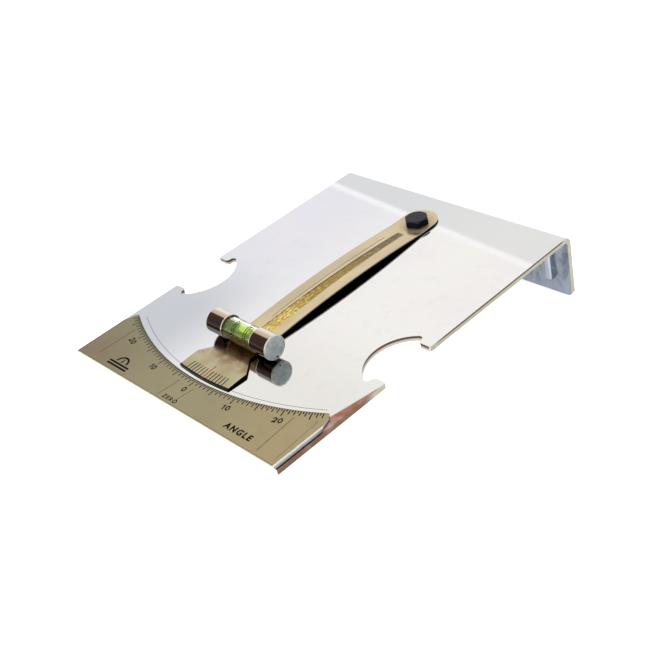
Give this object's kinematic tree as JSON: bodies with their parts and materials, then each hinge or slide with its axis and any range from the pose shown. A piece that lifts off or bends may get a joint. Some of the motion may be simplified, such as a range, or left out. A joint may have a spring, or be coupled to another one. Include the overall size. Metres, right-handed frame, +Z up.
{
  "type": "plate goniometer",
  "caption": "Folded steel plate with an engraved angle scale; a pivoting pointer arm carries a spirit level and a clamp knob, to read the tilt of a surface.",
  "frame": {"origin": "centre of the bounding box on the table that the goniometer stands on, resting on its front lower edge and its rear flange", "axes": "+Z up from the table, +Y from the scale at the front to the flange at the rear, +X across the plate along the level"},
  "size_m": [0.13, 0.1718, 0.031],
  "materials": {
    "polished_plate": "mirror polished",
    "scale_metal": "polished, thin nickel plating",
    "arm_metal": "polished, thin nickel plating",
    "black_ink": "filled enamel marks",
    "red_ink": "filled enamel mark",
    "ferrule_metal": "mirror plated",
    "disc_metal": "dull",
    "vial_glass": "clear",
    "green_liquid": "tinted, clear",
    "air": "clear",
    "plaster": "matt bedding",
    "solder": "dull tin solder",
    "stud_steel": "turned",
    "shim_brass": "plain",
    "spring_steel": "blued",
    "knob_black": "satin black"
  },
  "bodies": {
    "base": {"base_plate": "polished_plate", "flange_gusset_left": "polished_plate", "flange_gusset_right": "polished_plate", "scale_plate": "scale_metal", "scale_graduations": "black_ink", "scale_numerals": "black_ink", "pivot_stud": "stud_steel", "pivot_shim": "shim_brass"},
    "arm": {"pointer_arm": "arm_metal", "vernier_marks": "black_ink", "index_line": "red_ink", "level_saddle": "arm_metal", "level_solder": "solder", "ferrule_left": "ferrule_metal", "ferrule_right": "ferrule_metal", "end_disc_left": "disc_metal", "end_disc_right": "disc_metal", "vial_seat_left": "plaster", "vial_seat_right": "plaster", "vial_glass": "vial_glass", "vial_marks": "black_ink", "vial_liquid": "green_liquid"},
    "bubble": {"vial_bubble": "air"},
    "knob": {"clamp_knob": "knob_black", "spring_washer": "spring_steel"}
  },
  "joints": [
    {"name": "arm_swing", "type": "hinge", "parent": "base", "child": "arm", "pos_m": [0, 0.05731, 0.02604], "axis": [0, -0.1639, 0.9865], "range_deg": [-27, 27]},
    {"name": "bubble_slide", "type": "slide", "parent": "arm", "child": "bubble", "axis": [1, 0, 0], "range_m": [-0.005, 0.005], "stiffness_N_per_m": 0.5},
    {"name": "knob_turn", "type": "hinge", "parent": "base", "child": "knob", "pos_m": [0, 0.05731, 0.02604], "axis": [0, -0.1639, 0.9865], "range_deg": [0, 90]}
  ]
}
